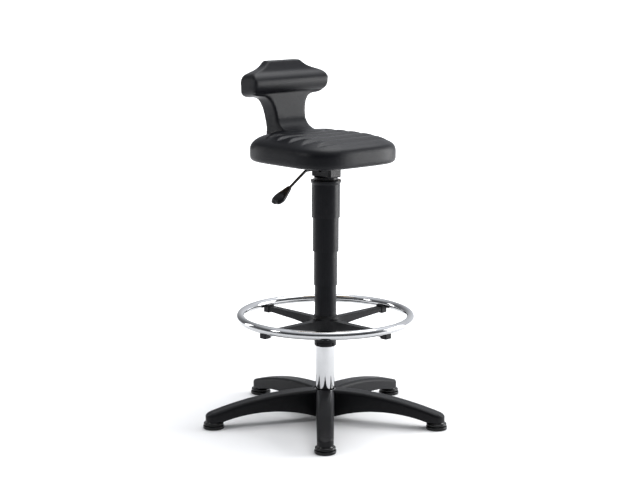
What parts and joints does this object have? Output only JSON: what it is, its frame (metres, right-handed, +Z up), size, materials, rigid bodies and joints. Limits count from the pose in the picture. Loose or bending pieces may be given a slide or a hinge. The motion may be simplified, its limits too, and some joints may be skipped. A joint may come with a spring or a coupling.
{
  "type": "drafting chair",
  "caption": "Sit-stand drafting chair: moulded foam seat and back on a telescoping gas lift, with a clamped foot ring and a star base on glides.",
  "frame": {"origin": "on the floor, under the column's axis", "axes": "+Z up, the sitter faces -Y, +X is the sitter's left"},
  "size_m": [0.6346, 0.6267, 0.944],
  "materials": {
    "base_nylon": "black glass-filled nylon, fine spark texture",
    "glide_plastic": "black polyamide, smooth",
    "glide_sole": "black soft-touch sole, smooth",
    "steel_dark": "oiled bright steel",
    "chrome": "bright chrome plate",
    "cover_plastic": "black polypropylene, satin",
    "spider_nylon": "black glass-filled nylon",
    "bush_plastic": "natural acetal",
    "bump_rubber": "black rubber",
    "black_steel": "black powder coat",
    "gas_steel": "black lacquered tube",
    "zinc": "zinc plated",
    "plywood": "birch plywood",
    "foam_skin": "black integral-skin polyurethane foam, satin",
    "grip_plastic": "black moulded grip"
  },
  "bodies": {
    "base": {"base_star": "base_nylon", "hub_ring": "steel_dark", "glide_1": "glide_plastic", "glide_2": "glide_plastic", "glide_3": "glide_plastic", "glide_4": "glide_plastic", "glide_5": "glide_plastic", "glide_sole_1": "glide_sole", "glide_sole_2": "glide_sole", "glide_sole_3": "glide_sole", "glide_sole_4": "glide_sole", "glide_sole_5": "glide_sole", "glide_stems": "zinc", "column_tube": "chrome", "column_floor": "steel_dark", "rod_clip": "steel_dark", "rod_washer": "zinc", "thrust_washers": "steel_dark", "thrust_balls": "steel_dark", "bump_stop": "bump_rubber", "piston_rod": "chrome", "piston": "steel_dark", "guide_bush": "bush_plastic", "cover_fixed": "cover_plastic"},
    "foot_ring_frame": {"foot_ring": "chrome", "ring_spider": "spider_nylon", "ring_screws": "zinc", "clamp_collet": "spider_nylon"},
    "foot_ring_clamp": {"clamp_collar": "spider_nylon"},
    "third_cover": {"cover_third": "cover_plastic"},
    "second_cover": {"cover_second": "cover_plastic"},
    "lift": {"cover_top": "cover_plastic"},
    "seat": {"gas_cylinder": "gas_steel", "cylinder_gland": "steel_dark", "taper_socket": "black_steel", "socket_collar": "grip_plastic", "mechanism_housing": "black_steel", "seat_plate": "black_steel", "plate_bolts": "zinc", "tee_nuts": "zinc", "lever_bracket": "black_steel", "lever_pivot": "zinc", "seat_board": "plywood", "back_strap": "steel_dark", "strap_screws": "zinc", "seat_cushion": "foam_skin", "backrest_cushion": "foam_skin"},
    "height_lever": {"lever_rod": "black_steel", "lever_grip": "grip_plastic"},
    "release": {"release_button": "zinc"}
  },
  "joints": [
    {"name": "seat_lift", "type": "slide", "parent": "base", "child": "lift", "axis": [0, 0, 1], "range_m": [-0.23, 0]},
    {"name": "second_cover_slide", "type": "slide", "parent": "base", "child": "second_cover", "axis": [0, 0, 1], "range_m": [-0.153, 0]},
    {"name": "third_cover_slide", "type": "slide", "parent": "base", "child": "third_cover", "axis": [0, 0, 1], "range_m": [-0.077, 0]},
    {"name": "seat_swivel", "type": "hinge", "parent": "lift", "child": "seat", "pos_m": [0, 0, 0.644], "axis": [0, 0, 1], "continuous": true},
    {"name": "lever_lift", "type": "hinge", "parent": "seat", "child": "height_lever", "pos_m": [-0.014, 0, 0.674], "axis": [0, 1, 0], "range_deg": [0, 6.5], "stiffness_Nm_per_rad": 2, "springref_deg": -5.73},
    {"name": "button_press", "type": "slide", "parent": "seat", "child": "release", "axis": [0, 0, -1], "range_m": [0, 0.0016]},
    {"name": "foot_ring_height", "type": "slide", "parent": "base", "child": "foot_ring_frame", "axis": [0, 0, 1], "range_m": [-0.11, 0]},
    {"name": "clamp_turn", "type": "hinge", "parent": "foot_ring_frame", "child": "foot_ring_clamp", "pos_m": [0, 0, 0.28], "axis": [0, 0, 1], "range_deg": [0, 60]}
  ],
  "couplings": [
    {"joint": "second_cover_slide", "follows": "seat_lift", "ratio": 0.66},
    {"joint": "third_cover_slide", "follows": "seat_lift", "ratio": 0.33},
    {"joint": "button_press", "follows": "lever_lift", "m_per_rad": 0.0141}
  ]
}
